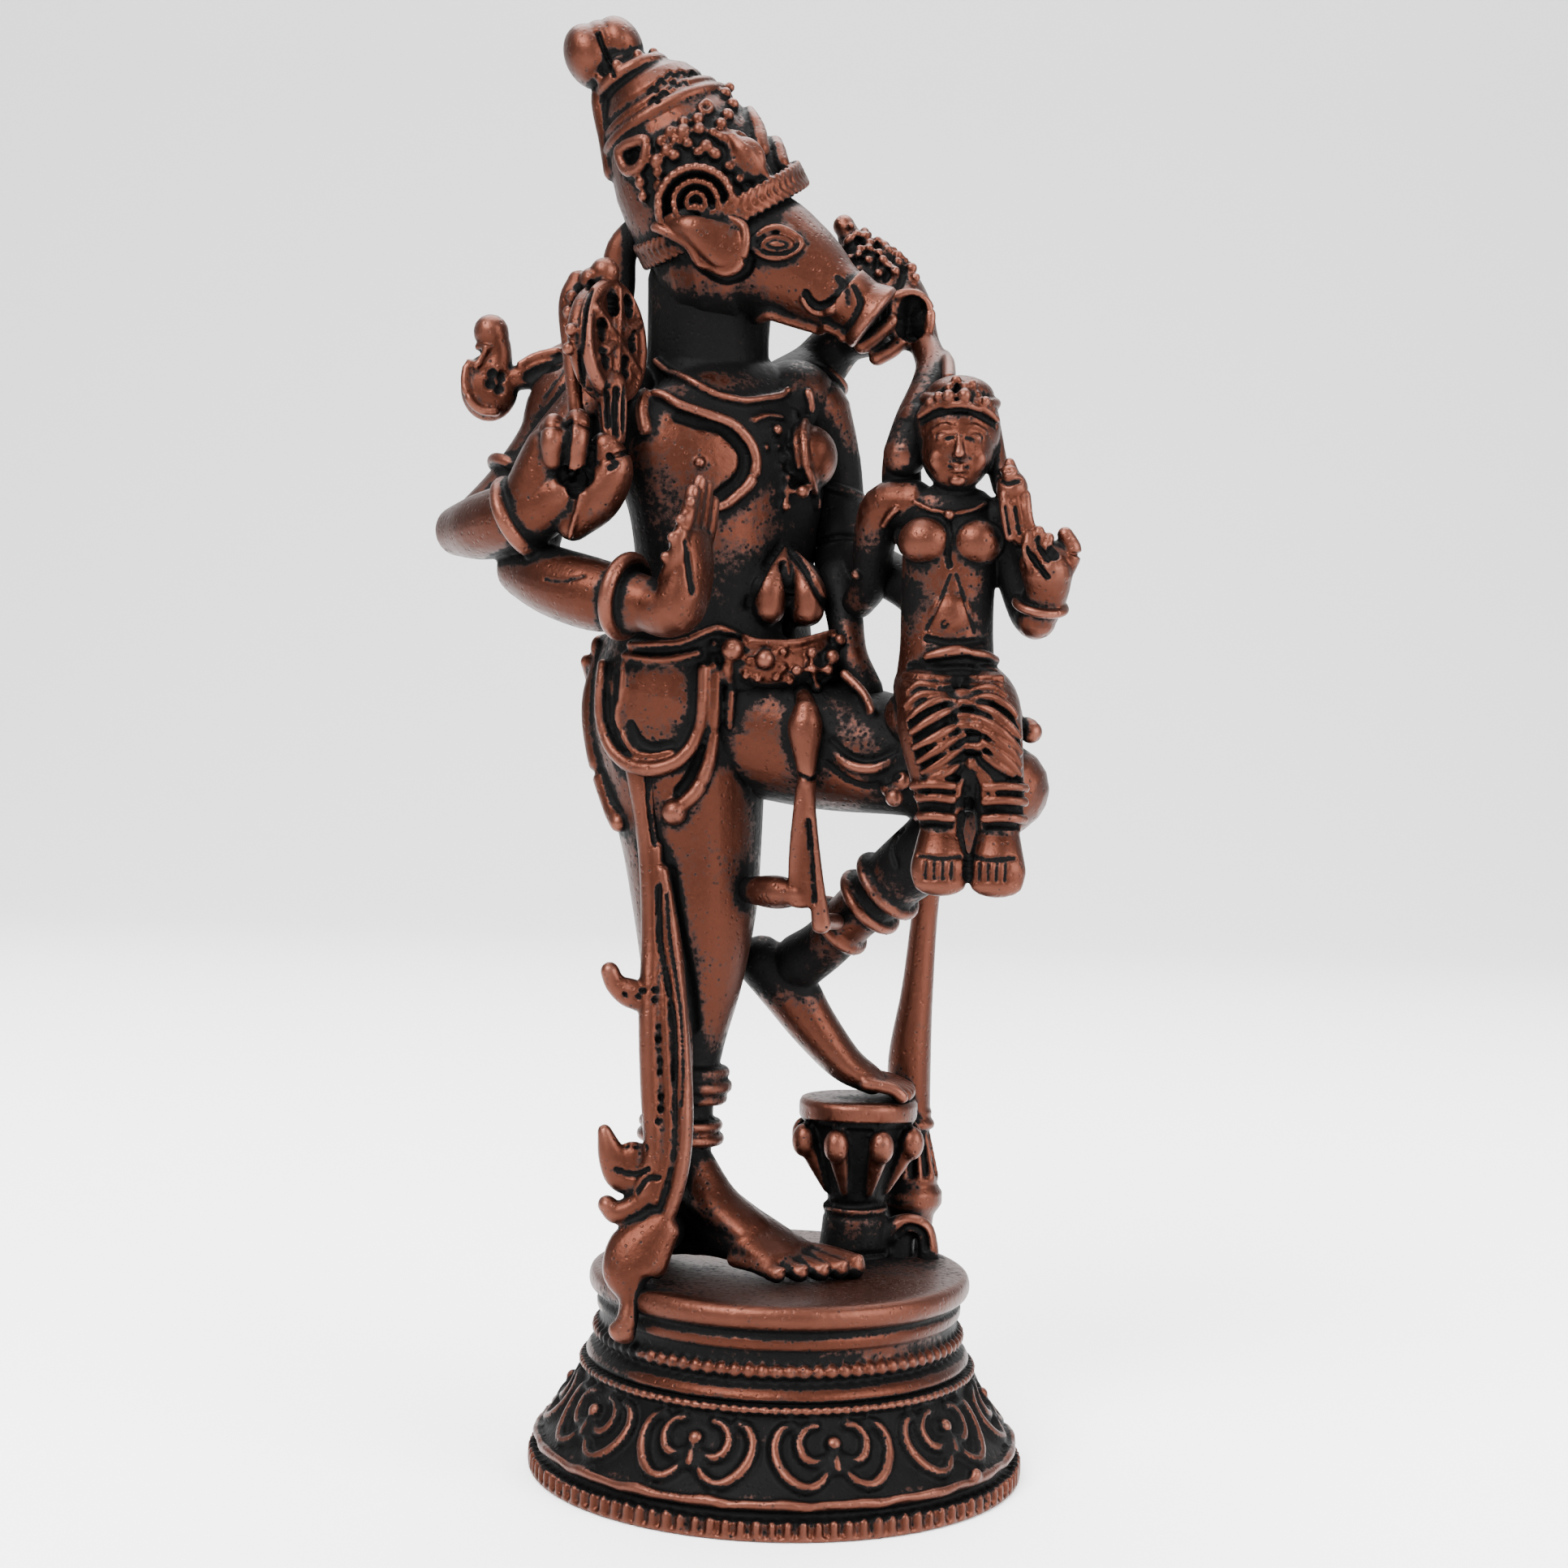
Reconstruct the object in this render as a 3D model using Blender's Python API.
"""Cast copper figurine of a boar-headed god with a seated goddess, on a round lotus plinth.

One solid casting, built in metres with +Z up and the underside of the plinth at z = 0.
The front of the figurine looks along -Y.
"""
import math

import bpy
import numpy as np
from mathutils import Vector

# Plinth sizes, heights from the underside
PLINTH_RADIUS = 0.0162
PLINTH_HEIGHT = 0.0131
RIM_HEIGHT = 0.00125
RIM_GROOVE_DEPTH = 0.0006
RIDGE_RADIUS = 0.0159
RIDGE_TOP = 0.0023
PETAL_FOOT_RADIUS = 0.0151
PETAL_FOOT_HEIGHT = 0.0025
PETAL_HEAD_RADIUS = 0.0126
PETAL_HEAD_HEIGHT = 0.0065
TORUS_RADIUS = 0.0126
TORUS_HEIGHT = 0.0075
LOWER_BEAD_RADIUS = 0.0129
LOWER_BEAD_HEIGHT = 0.0069
BEAD_ROW_RADIUS = 0.0120
BEAD_ROW_HEIGHT = 0.0090
NECK_RADIUS = 0.0117
COLLAR_RADIUS = 0.0120
COLLAR_HEIGHT = 0.0107
TOP_GROOVE_HEIGHT = 0.0113
TOP_GROOVE_SLOPE = 0.0003
TOP_RIM_RADIUS = 0.01255
TOP_FACE_RADIUS = 0.0121
TOP_EDGE_ROUND = 0.0003
SOFT_EDGE = 0.0002
BEAD_ROW_HALF = 0.0003
COLLAR_DROP = 0.0005
BAND_BOW = 0.0003
PETAL_COUNT = 11
PETAL_WIDTH = 0.0069
PETAL_RISE = 0.0037
PETAL_WIRE = 0.00036
PETAL_START_ANGLE = math.radians(13.5)
CELL_SIDES = 4

# Height of the figures above the plinth; pose and carving are shares of it
FIGURE_HEIGHT = 0.0821
DESIGN_HEIGHT = 82.1
DESIGN_FLOOR = 13.1

# Meshing of the fused figures
VOXEL = 0.00028
FIGURE_TRIANGLES = 6300
RING_SIDES = 12

# Direction the god's chest faces, and the direction of his left side
CHEST_FACE = Vector((0.57, -0.82, 0.0)).normalized()
CHEST_SIDE = Vector((0.82, 0.57, 0.0)).normalized()

# Axis of the tilted crown and the direction across it
CROWN_AXIS = Vector((-0.49, 0.0, 0.87)).normalized()
CROWN_ACROSS = Vector((0.87, 0.0, 0.49)).normalized()
CROWN_ORIGIN = Vector((-6.7, -0.8, 79.9))


# Trunk and standing leg as centre, height, half width and half depth
TRUNK = [(-6.4, 0.6, 50.0, 7.4, 6.0), (-5.6, 0.4, 53.5, 7.2, 5.5), (-5.1, 0.3, 57.5, 6.3, 4.7),
         (-5.0, 0.2, 61.5, 6.8, 4.6), (-5.1, 0.3, 66.0, 8.2, 4.8), (-5.4, 0.6, 69.6, 7.4, 4.1),
         (-6.0, 0.9, 71.6, 4.4, 3.2)]
LEG = [(-7.7, 0.6, 51.5, 5.8, 5.8), (-7.7, 0.3, 48.5, 5.8, 5.8), (-7.1, 0.0, 44.5, 5.2, 5.2),
       (-6.6, -0.2, 40.5, 4.6, 4.6), (-6.3, -0.6, 36.5, 4.1, 4.1), (-6.3, -0.8, 32.0, 3.35, 3.35),
       (-6.6, -0.8, 28.0, 2.6, 2.6), (-6.8, -0.7, 24.5, 2.2, 2.2), (-6.9, -0.4, 20.5, 2.15, 2.15),
       (-7.3, 0.2, 16.5, 2.3, 2.3)]
LEFT_LIMB_SIDE = Vector((1.0, 0.0, 0.0))
VIEW_FACE = Vector((0.0, -1.0, 0.0))


def skin(stations, x, z, lift, side, face):
    """Point lift above the skin of a limb, where it is seen from the front at x and z."""
    rows = sorted(stations, key=lambda row: row[2])
    high = [row[2] for row in rows]
    cx, cy, wide, deep = (float(np.interp(z, high, [row[k] for row in rows])) for k in (0, 1, 3, 4))
    reach = math.hypot(side.x * wide, face.x * deep)
    lean = math.atan2(face.x * deep, side.x * wide)
    share = max(-0.98, min(0.98, (x - cx) / reach))
    turn = math.asin(share) - lean
    spot = Vector((cx, cy, z)) + side * (wide * math.sin(turn)) + face * (deep * math.cos(turn))
    out = (side * (math.sin(turn) / wide) + face * (math.cos(turn) / deep)).normalized()
    return spot + out * lift


def on_trunk(x, z, lift=0.0):
    """Point on the god's trunk seen from the front at x and z."""
    return skin(TRUNK, x, z, lift, CHEST_SIDE, CHEST_FACE)


def on_leg(x, z, lift=0.0):
    """Point on the god's standing leg seen from the front at x and z."""
    return skin(LEG, x, z, lift, LEFT_LIMB_SIDE, VIEW_FACE)


class Clay:
    """Collects closed shapes in design millimetres before they are fused."""

    def __init__(self):
        self.verts = []
        self.faces = []

    def add(self, verts, faces):
        """Append one closed shape."""
        start = len(self.verts)
        self.verts.extend(Vector(v) for v in verts)
        self.faces.extend(tuple(start + i for i in face) for face in faces)

    def mesh(self, name, place):
        """Return a mesh with every point moved by place."""
        mesh = bpy.data.meshes.new(name)
        mesh.from_pydata([place(v) for v in self.verts], [], self.faces)
        mesh.update()
        return mesh


def figure_place(point):
    """Turn a design point in millimetres into metres on the plinth."""
    share = FIGURE_HEIGHT / DESIGN_HEIGHT
    return Vector((point.x * share, point.y * share,
                   PLINTH_HEIGHT + (point.z - DESIGN_FLOOR) * share))


def smooth_path(points, radii, steps):
    """Run a smooth curve through points and pairs of radii."""
    pts = np.array([tuple(p) for p in points], float)
    rad = np.array([(r, r) if not isinstance(r, tuple) else r for r in radii], float)
    data = np.hstack([pts, rad])
    full = np.vstack([2 * data[0] - data[1], data, 2 * data[-1] - data[-2]])
    rows = []
    for i in range(1, len(full) - 2):
        a, b, c, d = full[i - 1], full[i], full[i + 1], full[i + 2]
        for k in range(steps):
            t = k / steps
            rows.append(0.5 * (2 * b + (c - a) * t + (2 * a - 5 * b + 4 * c - d) * t * t
                               + (3 * b - a - 3 * c + d) * t ** 3))
    rows.append(full[-2])
    rows = np.array(rows)
    low = np.array([rad.min(axis=0)])
    rows[:, 3:] = np.maximum(rows[:, 3:], low * 0.9)
    return rows


def ring_faces(rows, sides, base=0):
    """Quads between successive rings of the same size."""
    faces = []
    for i in range(rows - 1):
        for k in range(sides):
            a = base + i * sides + k
            b = base + i * sides + (k + 1) % sides
            faces.append((a, b, b + sides, a + sides))
    return faces


def tube(clay, points, radii, side=(0.0, 0.0, 1.0), steps=4, sides=RING_SIDES):
    """Rounded tapering rod; radii may be pairs, the first one along side."""
    if not isinstance(radii, list):
        radii = [radii] * len(points)
    if len(points) == 2:
        steps = 2
    rows = smooth_path(points, radii, steps)
    centre = [Vector(r[:3]) for r in rows]
    tangent = []
    for i in range(len(centre)):
        tangent.append((centre[min(i + 1, len(centre) - 1)] - centre[max(i - 1, 0)]).normalized())
    guide = Vector(side)
    rings = []

    def ring(mid, along, ra, rb):
        nonlocal guide
        across = guide - along * guide.dot(along)
        if across.length < 0.2:
            across = along.orthogonal()
        across.normalize()
        guide = across if Vector(side).dot(along) ** 2 > 0.9 else Vector(side)
        other = along.cross(across)
        out = []
        for k in range(sides):
            w = 2 * math.pi * k / sides
            out.append(mid + across * (ra * math.cos(w)) + other * (rb * math.sin(w)))
        rings.append(out)

    first, last = rows[0], rows[-1]
    reach = min(first[3], first[4])
    for turn in (66, 33):
        w = math.radians(turn)
        ring(centre[0] - tangent[0] * reach * math.sin(w), tangent[0],
             first[3] * math.cos(w), first[4] * math.cos(w))
    for i, row in enumerate(rows):
        ring(centre[i], tangent[i], row[3], row[4])
    reach_end = min(last[3], last[4])
    for turn in (33, 66):
        w = math.radians(turn)
        ring(centre[-1] + tangent[-1] * reach_end * math.sin(w), tangent[-1],
             last[3] * math.cos(w), last[4] * math.cos(w))
    verts = [v for r in rings for v in r]
    faces = ring_faces(len(rings), sides)
    verts.append(centre[0] - tangent[0] * reach)
    verts.append(centre[-1] + tangent[-1] * reach_end)
    south, north = len(verts) - 2, len(verts) - 1
    top = (len(rings) - 1) * sides
    for k in range(sides):
        faces.append((south, (k + 1) % sides, k))
        faces.append((north, top + k, top + (k + 1) % sides))
    clay.add(verts, faces)


def ball(clay, centre, radii, axis=(0.0, 0.0, 1.0), side=(1.0, 0.0, 0.0)):
    """Ellipsoid; radii run along side, across it, and along axis."""
    if not isinstance(radii, tuple):
        radii = (radii, radii, radii)
    up = Vector(axis).normalized()
    across = Vector(side) - up * Vector(side).dot(up)
    across.normalize()
    other = up.cross(across)
    sides, rows = 16, 9
    verts = []
    for i in range(1, rows):
        v = math.pi * i / rows - math.pi / 2
        for k in range(sides):
            w = 2 * math.pi * k / sides
            verts.append(Vector(centre) + across * (radii[0] * math.cos(v) * math.cos(w))
                         + other * (radii[1] * math.cos(v) * math.sin(w))
                         + up * (radii[2] * math.sin(v)))
    faces = ring_faces(rows - 1, sides)
    verts.append(Vector(centre) - up * radii[2])
    verts.append(Vector(centre) + up * radii[2])
    top = (rows - 2) * sides
    for k in range(sides):
        faces.append((len(verts) - 2, (k + 1) % sides, k))
        faces.append((len(verts) - 1, top + k, top + (k + 1) % sides))
    clay.add(verts, faces)


def hoop(clay, centre, axis, radii, wire, side=(1.0, 0.0, 0.0), count=28):
    """Closed ring of round wire; radii run along side and across it."""
    if not isinstance(radii, tuple):
        radii = (radii, radii)
    up = Vector(axis).normalized()
    across = (Vector(side) - up * Vector(side).dot(up)).normalized()
    other = up.cross(across)
    wide, tall = wire if isinstance(wire, tuple) else (wire, wire)
    verts, faces, sides = [], [], 8
    for i in range(count):
        w = 2 * math.pi * i / count
        out = across * math.cos(w) + other * math.sin(w)
        mid = Vector(centre) + across * (radii[0] * math.cos(w)) + other * (radii[1] * math.sin(w))
        for k in range(sides):
            u = 2 * math.pi * k / sides
            verts.append(mid + out * (wide * math.cos(u)) + up * (tall * math.sin(u)))
    for i in range(count):
        for k in range(sides):
            a, b = i * sides + k, i * sides + (k + 1) % sides
            c, d = ((i + 1) % count) * sides + (k + 1) % sides, ((i + 1) % count) * sides + k
            faces.append((a, d, c, b))
    clay.add(verts, faces)


def lathe(clay, profile, origin, axis, side=(1.0, 0.0, 0.0), squash=1.0, sides=24):
    """Turned shape; profile is a list of heights and radii, closed by points at both ends."""
    up = Vector(axis).normalized()
    across = (Vector(side) - up * Vector(side).dot(up)).normalized()
    other = up.cross(across)
    verts = []
    for height, radius in profile:
        for k in range(sides):
            w = 2 * math.pi * k / sides
            verts.append(Vector(origin) + up * height + across * (radius * math.cos(w))
                         + other * (radius * squash * math.sin(w)))
    faces = ring_faces(len(profile), sides)
    verts.append(Vector(origin) + up * profile[0][0])
    verts.append(Vector(origin) + up * profile[-1][0])
    top = (len(profile) - 1) * sides
    for k in range(sides):
        faces.append((len(verts) - 2, (k + 1) % sides, k))
        faces.append((len(verts) - 1, top + k, top + (k + 1) % sides))
    clay.add(verts, faces)


def standing_leg(clay):
    """Right leg the god stands on, with its broad foot and anklets."""
    tube(clay, [row[:3] for row in LEG], [row[3:] for row in LEG], steps=3, sides=18)
    toe_way = Vector((0.86, -0.5, 0.0)).normalized()
    cross = Vector((0.5, 0.86, 0.0)).normalized()
    heel = Vector((-8.0, 1.1, 15.0))
    tube(clay, [heel + Vector((0.0, 0.0, 0.3)), heel + toe_way * 3.0 + Vector((0, 0, 1.2)),
                heel + toe_way * 6.5 + Vector((0, 0, 0.4)), heel + toe_way * 10.0 + Vector((0, 0, -0.7))],
         [(2.0, 2.1), (2.1, 2.6), (2.6, 1.8), (3.1, 1.1)], side=cross, sides=16)
    tube(clay, [(-6.3, -1.0, 20.0), (-4.4, -2.0, 17.4), (-1.8, -3.2, 15.7)],
         [(1.7, 1.6), (1.9, 1.5), (2.0, 1.2)], side=cross)
    for i, (reach, width) in enumerate(((13.3, 0.85), (13.0, 0.68), (12.4, 0.64), (11.6, 0.6), (10.7, 0.56))):
        out = cross * (2.3 - 1.28 * i)
        tip = heel + toe_way * reach + out + Vector((0, 0, -1.15))
        back = heel + toe_way * (reach - 3.4) + out * 0.85 + Vector((0, 0, -0.7))
        tube(clay, [back, (back + tip) / 2 + Vector((0, 0, 0.12)), tip], [width, width, width * 1.05])
    hoop(clay, (-6.5, -0.8, 25.7), (0.0, 0.0, 1.0), 2.5, (0.55, 0.5))
    hoop(clay, (-6.5, -0.8, 24.6), (0.0, 0.0, 1.0), 2.4, (0.5, 0.6))
    hoop(clay, (-6.8, -0.7, 22.3), (0.05, 0.0, 1.0), 2.45, 0.42)
    hoop(clay, (-6.8, -0.6, 21.3), (0.05, 0.0, 1.0), 2.5, 0.42)


def raised_leg(clay):
    """Left leg: level thigh, shin slanting back, foot toes down on the stool."""
    tube(clay, [(-3.2, -0.2, 49.0), (2.0, -1.8, 47.6), (7.0, -3.6, 46.8), (11.0, -4.9, 45.9),
                (13.4, -5.5, 45.0)], [5.0, 4.4, 3.8, 3.3, 2.85], steps=4, sides=18)
    tube(clay, [(13.2, -5.5, 44.7), (10.0, -4.2, 41.8), (6.9, -2.5, 39.1), (4.3, -0.7, 36.5),
                (2.4, 1.1, 34.3), (0.8, 2.2, 33.0)], [2.75, 2.5, 2.15, 1.8, 1.75, 1.9], steps=3, sides=14)
    tube(clay, [(-1.9, 2.9, 32.9), (-0.1, 3.0, 31.2), (1.75, 3.2, 28.65), (3.9, 3.4, 26.2),
                (5.8, 3.5, 25.0)],
         [(1.7, 1.75), (1.8, 1.95), (1.9, 1.65), (2.2, 1.3), (2.4, 0.95)], side=(0.0, 1.0, 0.0), sides=14)
    for i, (reach, width) in enumerate(((8.3, 0.62), (8.4, 0.52), (8.3, 0.5), (8.1, 0.5), (7.8, 0.46))):
        y = 5.4 - 1.02 * i
        tube(clay, [(5.4, y, 25.0), (7.1, y, 24.7), (reach, y, 24.2)], [width, width, width])
    shin = Vector((2.6, -1.8, 2.5)).normalized()
    for spot, size in (((6.2, -1.8, 38.3), 2.35), ((5.1, -1.1, 37.2), 2.25), ((3.3, 0.3, 35.6), 2.1)):
        hoop(clay, spot, shin, size, 0.45)


def torso(clay):
    """Trunk, neck and the two halves of the chest."""
    tube(clay, [row[:3] for row in TRUNK], [row[3:] for row in TRUNK], side=CHEST_SIDE, sides=20)
    tube(clay, [(-6.4, 1.0, 69.5), (-6.6, 0.8, 73.5), (-6.5, 0.3, 78.0)], [3.6, 3.15, 3.5], sides=16)
    for x, z, size in ((-6.1, 65.8, 2.7), (1.0, 66.4, 2.4)):
        ball(clay, on_trunk(x, z, -0.9), (size, size * 0.75, size * 0.95), side=CHEST_SIDE)
        ball(clay, on_trunk(x + 0.4, z - 0.4, size * 0.75 - 0.75), 0.45)


def torso_ornaments(clay):
    """Collar, chest cords, bead crosses, twin drops and the studded belt."""
    collar = [(-10.6, 72.2), (-8.4, 70.6), (-6.0, 69.3), (-4.0, 69.0), (-2.4, 69.3), (-1.0, 70.4)]
    tube(clay, [on_trunk(x, z, 0.1) for x, z in collar], 0.42)
    cord = [(-10.6, 69.6), (-8.2, 69.0), (-5.2, 67.8), (-3.4, 66.4), (-3.2, 64.8), (-4.2, 63.3), (-6.2, 61.8)]
    tube(clay, [on_trunk(x, z, 0.15) for x, z in cord], 0.5)
    edge = [(0.2, 70.0), (0.2, 67.6), (0.3, 65.4), (0.8, 62.6)]
    tube(clay, [on_trunk(x, z, 0.1) for x, z in edge], 0.38)
    ball(clay, on_trunk(-1.9, 67.3, 0.25), 0.55)
    tube(clay, [on_trunk(-1.9, 66.9, 0.05), on_trunk(-1.3, 64.4, 0.05)], 0.3)
    hub = on_trunk(-1.1, 63.4, 0.25)
    for dx, dz, size in ((0, 0, 0.45), (1.0, 0, 0.58), (-1.0, 0, 0.58), (0, 0.9, 0.42), (0, -0.9, 0.42)):
        ball(clay, hub + CHEST_SIDE * dx + Vector((0, 0, dz)), size)
    for x, low in ((-2.3, 55.6), (0.55, 55.5)):
        tube(clay, [on_trunk(-1.0 + 0.2 * (x + 0.9), 59.2, 0.3), on_trunk(x, low + 1.5, 0.4),
                    on_trunk(x, low, 0.3)],
             [(0.45, 0.6), (1.45, 1.2), (1.5, 1.25)], side=CHEST_SIDE, sides=14)
    belt = [on_trunk(x, z, 0.2) for x, z in ((-11.0, 54.2), (-8.0, 54.0), (-5.0, 53.6), (-2.0, 53.0),
                                             (0.6, 52.8), (2.2, 53.4))]
    back = [(2.4, 3.0, 54.0), (-2.4, 5.6, 54.2), (-7.6, 5.4, 54.3), (-11.4, 2.4, 54.2), tuple(belt[0])]
    tube(clay, [tuple(p) for p in belt] + back, [(0.95, 0.6)] * (len(belt) + len(back)), sides=8)
    for x, z in ((-7.4, 54.1), (-4.2, 53.8), (-2.2, 53.0), (2.0, 53.4), (2.4, 54.5)):
        ball(clay, on_trunk(x, z, 0.7), 0.72)
    hub = on_trunk(0.3, 52.5, 0.75)
    for dx, dz in ((0, 0), (0.9, 0), (-0.9, 0), (0, 0.9), (0, -0.9)):
        ball(clay, hub + CHEST_SIDE * dx + Vector((0, 0, dz)), 0.48)


def hip_drape(clay):
    """Swags, ridges and knots of cloth over the right hip."""
    outer = [(-12.2, 52.0), (-12.6, 49.8), (-12.2, 47.8), (-10.8, 46.4), (-9.2, 46.0), (-7.4, 46.9),
             (-6.6, 49.2), (-6.4, 52.0)]
    tube(clay, [on_leg(x, z, 0.25) for x, z in outer], 0.6)
    inner = [(-5.0, 52.0), (-5.2, 49.4), (-5.5, 46.8), (-6.3, 44.8), (-7.6, 43.7)]
    tube(clay, [on_leg(x, z, 0.35) for x, z in inner], 0.65)
    ridge = [(-4.0, 51.8), (-4.1, 49.4), (-4.4, 46.8)]
    tube(clay, [on_leg(x, z, 0.2) for x, z in ridge], 0.5)
    ball(clay, on_leg(-7.7, 43.4, 0.5), 0.85)
    tube(clay, [(-12.7, 0.6, 53.0), (-13.3, 0.0, 49.8), (-12.9, -0.6, 46.4), (-11.75, -1.6, 43.2),
                (-10.9, -2.6, 41.6)], [0.8, 0.85, 0.8, 0.7, 0.65])


def side_sash(clay):
    """Long sash in three strips down the front of the standing leg, with curls and a tail."""
    left = [(-9.95, -4.4, 45.6), (-9.45, -4.3, 42.0), (-9.05, -4.4, 38.8), (-8.8, -4.8, 34.4),
            (-8.75, -5.9, 29.8), (-8.45, -6.4, 25.0), (-8.15, -6.8, 21.6), (-8.7, -7.1, 18.9)]
    mid = [(-8.7, -4.5, 40.6), (-8.5, -4.6, 38.0), (-8.0, -5.0, 34.0), (-7.8, -6.0, 29.8),
           (-7.4, -6.5, 25.0), (-7.3, -6.9, 21.4), (-8.0, -7.2, 18.4)]
    right = [(-8.3, -4.6, 39.0), (-7.4, -5.0, 34.4), (-6.8, -6.0, 29.6), (-6.3, -6.6, 24.4),
             (-6.4, -7.0, 20.6), (-7.2, -7.3, 17.4), (-8.6, -7.6, 14.9)]
    tube(clay, left, [(1.0, 0.9)] + [(0.82, 0.85)] * 7, side=(1, 0, 0), steps=3)
    tube(clay, mid, [(0.55, 0.7)] * 7, side=(1, 0, 0), steps=3)
    tube(clay, right, [(0.66, 0.8)] * 6 + [(0.9, 0.8)], side=(1, 0, 0), steps=3)
    tube(clay, [(-9.2, -5.6, 30.9), (-10.2, -5.5, 31.3), (-11.0, -5.5, 31.8), (-11.4, -5.5, 32.6)],
         [(0.9, 0.7), (0.95, 0.7), (0.75, 0.65), (0.75, 0.65)], side=(0, 0, 1))
    tube(clay, [(-8.6, -6.6, 19.8), (-10.2, -6.5, 19.6), (-11.1, -6.5, 20.6), (-11.7, -6.4, 22.4)],
         [(0.9, 0.8), (1.3, 0.7), (1.1, 0.65), (0.6, 0.6)], side=(0.7, 0, -0.7))
    tube(clay, [(-9.6, -6.6, 21.4), (-10.3, -6.5, 21.0)], [(0.6, 0.6), (0.8, 0.6)])
    tube(clay, [(-7.9, -7.0, 19.4), (-9.0, -7.0, 18.2), (-10.3, -7.0, 17.5), (-11.0, -7.0, 18.0)],
         [(0.7, 0.7), (0.75, 0.75), (0.75, 0.75), (0.7, 0.8)])
    tube(clay, [(-7.5, -7.3, 16.8), (-8.8, -7.6, 15.2), (-9.5, -7.9, 13.9), (-9.3, -8.3, 12.4),
                (-9.4, -8.7, 11.2), (-9.7, -8.7, 10.4)],
         [(1.4, 0.9), (2.15, 1.2), (1.75, 1.1), (0.8, 0.8), (0.75, 0.7), (0.95, 0.75)], side=(1, 0, 0.3))
    tube(clay, [(-7.4, -2.0, 20.0), (-8.4, -6.0, 18.0)], [1.2, 1.0])
    tube(clay, [(-7.6, -2.4, 15.6), (-8.8, -6.4, 14.8)], [1.4, 1.2])


def centre_sash(clay):
    """Tear-drop tassel and split ribbon hanging between the legs."""
    tube(clay, [(0.6, -6.3, 49.4), (0.6, -6.5, 48.4), (0.7, -6.4, 46.6), (0.8, -6.3, 44.8)],
         [(1.0, 0.9), (1.2, 1.0), (0.85, 0.75), (0.5, 0.5)], side=(1, 0, 0))
    tube(clay, [(0.8, -6.2, 45.4), (0.7, -6.2, 43.4), (0.6, -6.0, 40.4), (0.7, -5.8, 37.4)],
         [(0.6, 0.5), (0.8, 0.5), (0.9, 0.5), (1.0, 0.5)], side=(1, 0, 0))
    tube(clay, [(0.9, -6.3, 44.6), (1.2, -6.2, 41.6), (1.6, -6.1, 38.6), (2.0, -6.0, 35.9)],
         [(0.45, 0.5), (0.5, 0.5), (0.55, 0.5), (0.7, 0.55)], side=(1, 0, 0))
    tube(clay, [(-2.6, -3.0, 37.9), (-0.9, -4.6, 37.9), (0.4, -5.6, 37.9)],
         [(0.9, 0.9), (1.15, 1.0), (0.8, 0.8)])
    tube(clay, [(0.2, -4.0, 51.0), (0.6, -6.0, 49.8)], 0.7)
    tube(clay, [(1.9, -5.8, 36.2), (3.0, -2.6, 36.0)], 0.6)


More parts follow.
